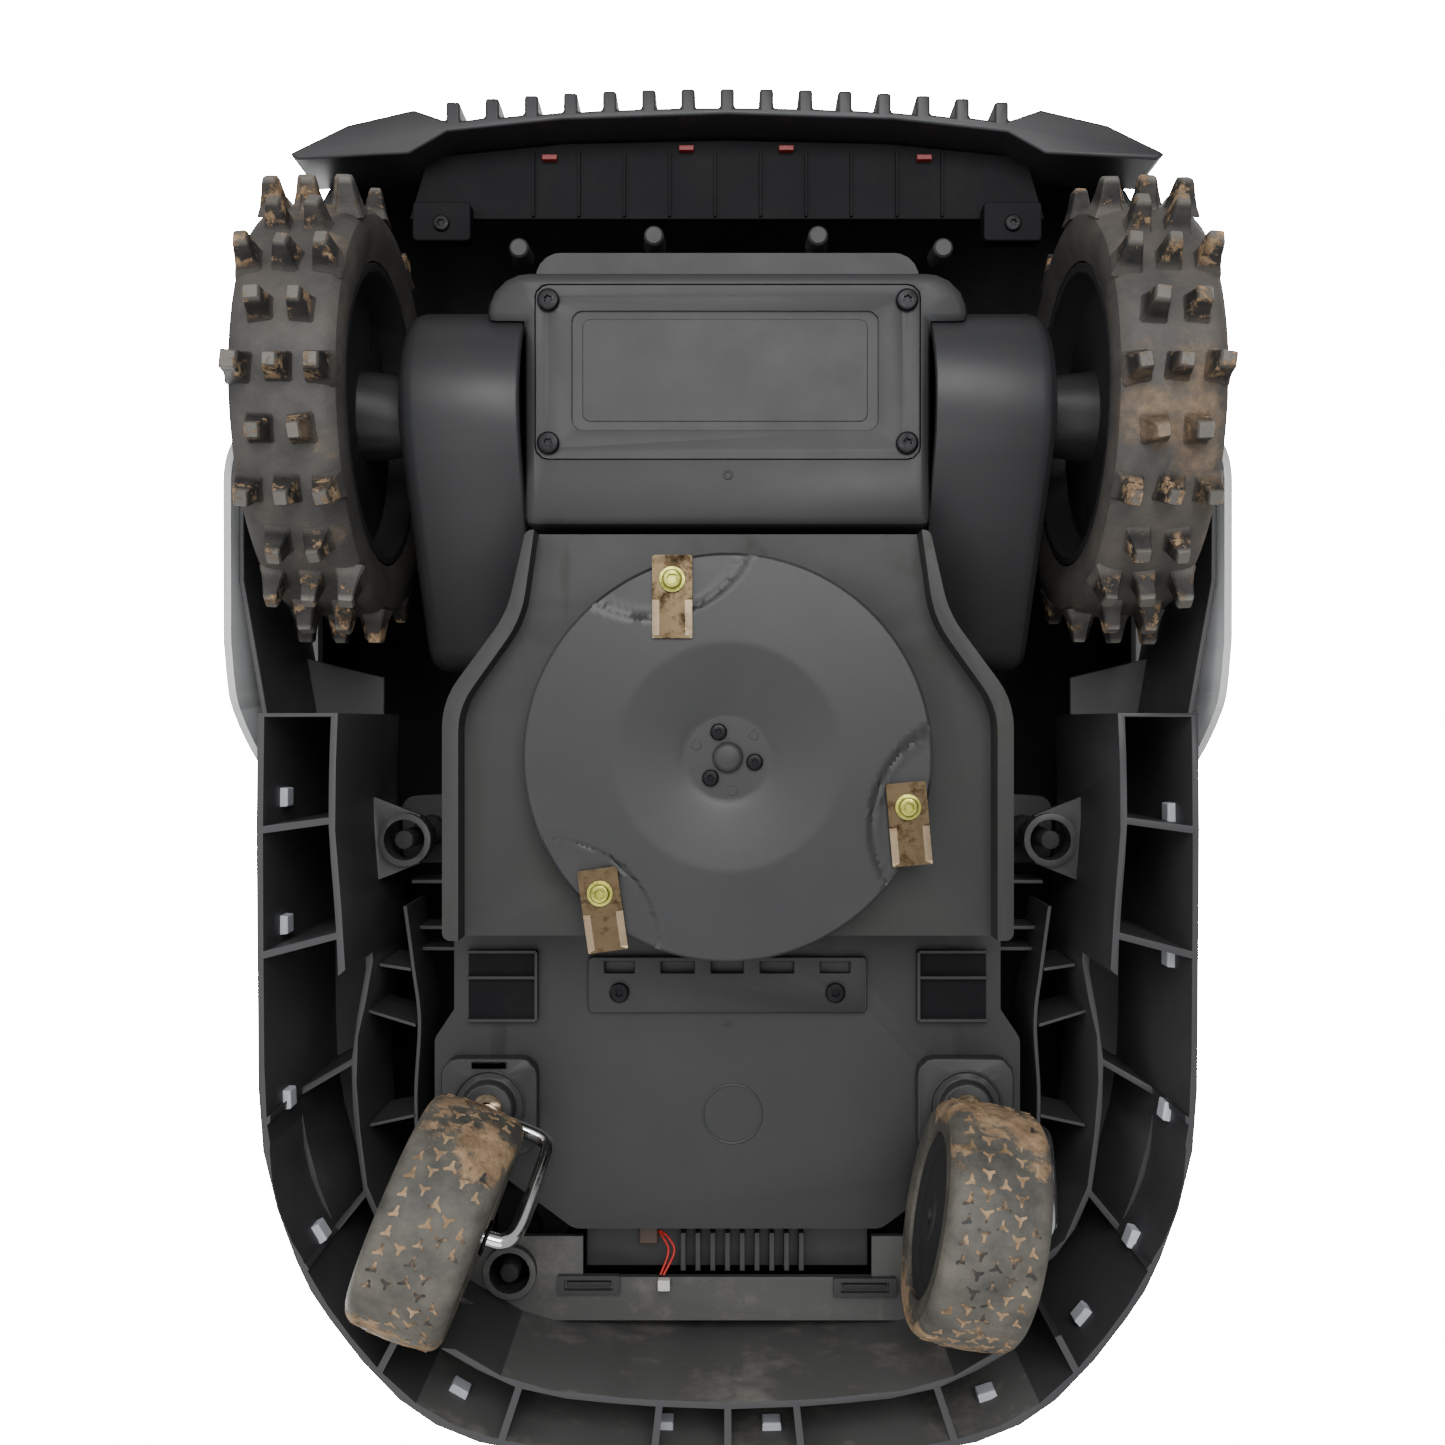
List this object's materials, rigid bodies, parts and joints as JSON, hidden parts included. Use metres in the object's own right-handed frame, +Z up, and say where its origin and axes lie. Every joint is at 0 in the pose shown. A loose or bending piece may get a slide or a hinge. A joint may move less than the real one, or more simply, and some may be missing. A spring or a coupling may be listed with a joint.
{
  "type": "robotic lawn mower",
  "caption": "Compact robotic mower: driven rear wheels, two casters, blade disc with three swinging blades under a floating shell.",
  "frame": {"origin": "on the ground, under the middle of the bounding box", "axes": "+Z up, -Y the front (driving direction), +X the mower's left side"},
  "size_m": [0.385, 0.545, 0.27],
  "materials": {
    "dark_plastic": "satin",
    "black_plastic": "satin",
    "silver_plastic": "satin",
    "tyre_rubber": "matte",
    "soft_rubber": "matte",
    "chrome": "polished",
    "steel": "satin",
    "screw_steel": "satin",
    "blade_steel": "satin",
    "yellow_zinc": "satin",
    "red_plastic": "gloss",
    "lead_red": "gloss",
    "white_plastic": "satin",
    "board": "satin",
    "display": "gloss",
    "grey_plastic": "satin"
  },
  "bodies": {
    "chassis": {"chassis_pan": "dark_plastic", "chassis_lid": "dark_plastic", "battery_bay": "dark_plastic", "battery_cover": "dark_plastic", "battery_cover_screw_1": "screw_steel", "battery_cover_screw_2": "screw_steel", "battery_cover_screw_3": "screw_steel", "battery_cover_screw_4": "screw_steel", "battery_pack": "black_plastic", "drive_housing_left": "dark_plastic", "drive_housing_right": "dark_plastic", "drive_motor_left": "steel", "drive_motor_right": "steel", "control_board": "board", "access_plate": "dark_plastic", "access_plate_screw_1": "screw_steel", "access_plate_screw_2": "screw_steel", "caster_mount_left": "dark_plastic", "caster_mount_right": "dark_plastic", "deck_guard": "dark_plastic", "float_post_1": "soft_rubber", "float_post_2": "soft_rubber", "float_post_3": "soft_rubber", "float_post_4": "soft_rubber", "magnet_sensor": "black_plastic", "sensor_lead": "lead_red", "sensor_plug": "white_plastic"},
    "shell": {"front_bumper": "black_plastic", "top_cover": "black_plastic", "side_panel_left": "silver_plastic", "side_panel_right": "silver_plastic", "rear_grille": "black_plastic", "display_window": "display"},
    "stop_button": {"stop_button": "red_plastic"},
    "keypad_button_1": {"keypad_button_1": "grey_plastic"},
    "keypad_button_2": {"keypad_button_2": "grey_plastic"},
    "height_knob": {"height_knob": "dark_plastic"},
    "cutting_unit": {"cutting_motor": "steel"},
    "blade_disc": {"blade_disc": "dark_plastic", "hub_screw_1": "screw_steel", "hub_screw_2": "screw_steel", "hub_screw_3": "screw_steel", "blade_bolt_1": "yellow_zinc", "blade_bolt_2": "yellow_zinc", "blade_bolt_3": "yellow_zinc"},
    "blade_1": {"blade_1": "blade_steel"},
    "blade_2": {"blade_2": "blade_steel"},
    "blade_3": {"blade_3": "blade_steel"},
    "drive_wheel_left": {"drive_axle_left": "steel", "drive_rim_left": "dark_plastic", "drive_tyre_left": "tyre_rubber"},
    "caster_swivel_left": {"caster_fork_left": "chrome"},
    "caster_wheel_left": {"caster_rim_left": "black_plastic", "caster_tyre_left": "tyre_rubber"},
    "drive_wheel_right": {"drive_axle_right": "steel", "drive_rim_right": "dark_plastic", "drive_tyre_right": "tyre_rubber"},
    "caster_swivel_right": {"caster_fork_right": "chrome"},
    "caster_wheel_right": {"caster_rim_right": "black_plastic", "caster_tyre_right": "tyre_rubber"}
  },
  "joints": [
    {"name": "shell_float", "type": "slide", "parent": "chassis", "child": "shell", "axis": [0, 1, 0], "range_m": [-0.004, 0.004], "stiffness_N_per_m": 4000},
    {"name": "stop_button_press", "type": "slide", "parent": "shell", "child": "stop_button", "axis": [0, 0, 1], "range_m": [-0.003, 0], "stiffness_N_per_m": 900},
    {"name": "keypad_button_1_press", "type": "slide", "parent": "shell", "child": "keypad_button_1", "axis": [0, 0, 1], "range_m": [-0.0012, 0], "stiffness_N_per_m": 500},
    {"name": "keypad_button_2_press", "type": "slide", "parent": "shell", "child": "keypad_button_2", "axis": [0, 0, 1], "range_m": [-0.0012, 0], "stiffness_N_per_m": 500},
    {"name": "cutting_height", "type": "slide", "parent": "chassis", "child": "cutting_unit", "axis": [0, 0, 1], "range_m": [-0.0175, 0.0125]},
    {"name": "height_knob_turn", "type": "hinge", "parent": "chassis", "child": "height_knob", "pos_m": [0, 0.03, 0.255], "axis": [0, 0, 1], "range_deg": [-160, 115]},
    {"name": "disc_spin", "type": "hinge", "parent": "cutting_unit", "child": "blade_disc", "pos_m": [0, -0.0073, 0.043], "axis": [0, 0, 1], "continuous": true},
    {"name": "blade_1_swing", "type": "hinge", "parent": "blade_disc", "child": "blade_1", "pos_m": [0.02042, 0.05788, 0.039], "axis": [0, 0, 1], "continuous": true},
    {"name": "blade_2_swing", "type": "hinge", "parent": "blade_disc", "child": "blade_2", "pos_m": [-0.06585, -0.02544, 0.039], "axis": [0, 0, 1], "continuous": true},
    {"name": "blade_3_swing", "type": "hinge", "parent": "blade_disc", "child": "blade_3", "pos_m": [0.04684, -0.05701, 0.039], "axis": [0, 0, 1], "continuous": true},
    {"name": "drive_wheel_left_turn", "type": "hinge", "parent": "chassis", "child": "drive_wheel_left", "pos_m": [0.156, 0.129, 0.092], "axis": [1, 0, 0], "continuous": true},
    {"name": "caster_left_swivel", "type": "hinge", "parent": "chassis", "child": "caster_swivel_left", "pos_m": [0.0965, -0.15, 0.1], "axis": [0, 0, 1], "continuous": true},
    {"name": "caster_left_roll", "type": "hinge", "parent": "caster_swivel_left", "child": "caster_wheel_left", "pos_m": [0.10725, -0.17801, 0.0435], "axis": [0.9336, 0.3584, 0], "continuous": true},
    {"name": "drive_wheel_right_turn", "type": "hinge", "parent": "chassis", "child": "drive_wheel_right", "pos_m": [-0.156, 0.129, 0.092], "axis": [1, 0, 0], "continuous": true},
    {"name": "caster_right_swivel", "type": "hinge", "parent": "chassis", "child": "caster_swivel_right", "pos_m": [-0.0965, -0.15, 0.1], "axis": [0, 0, 1], "continuous": true},
    {"name": "caster_right_roll", "type": "hinge", "parent": "caster_swivel_right", "child": "caster_wheel_right", "pos_m": [-0.09078, -0.17945, 0.0435], "axis": [0.9816, 0.1908, 0], "continuous": true}
  ],
  "couplings": [
    {"joint": "height_knob_turn", "follows": "cutting_height", "rad_per_m": 157.08}
  ]
}
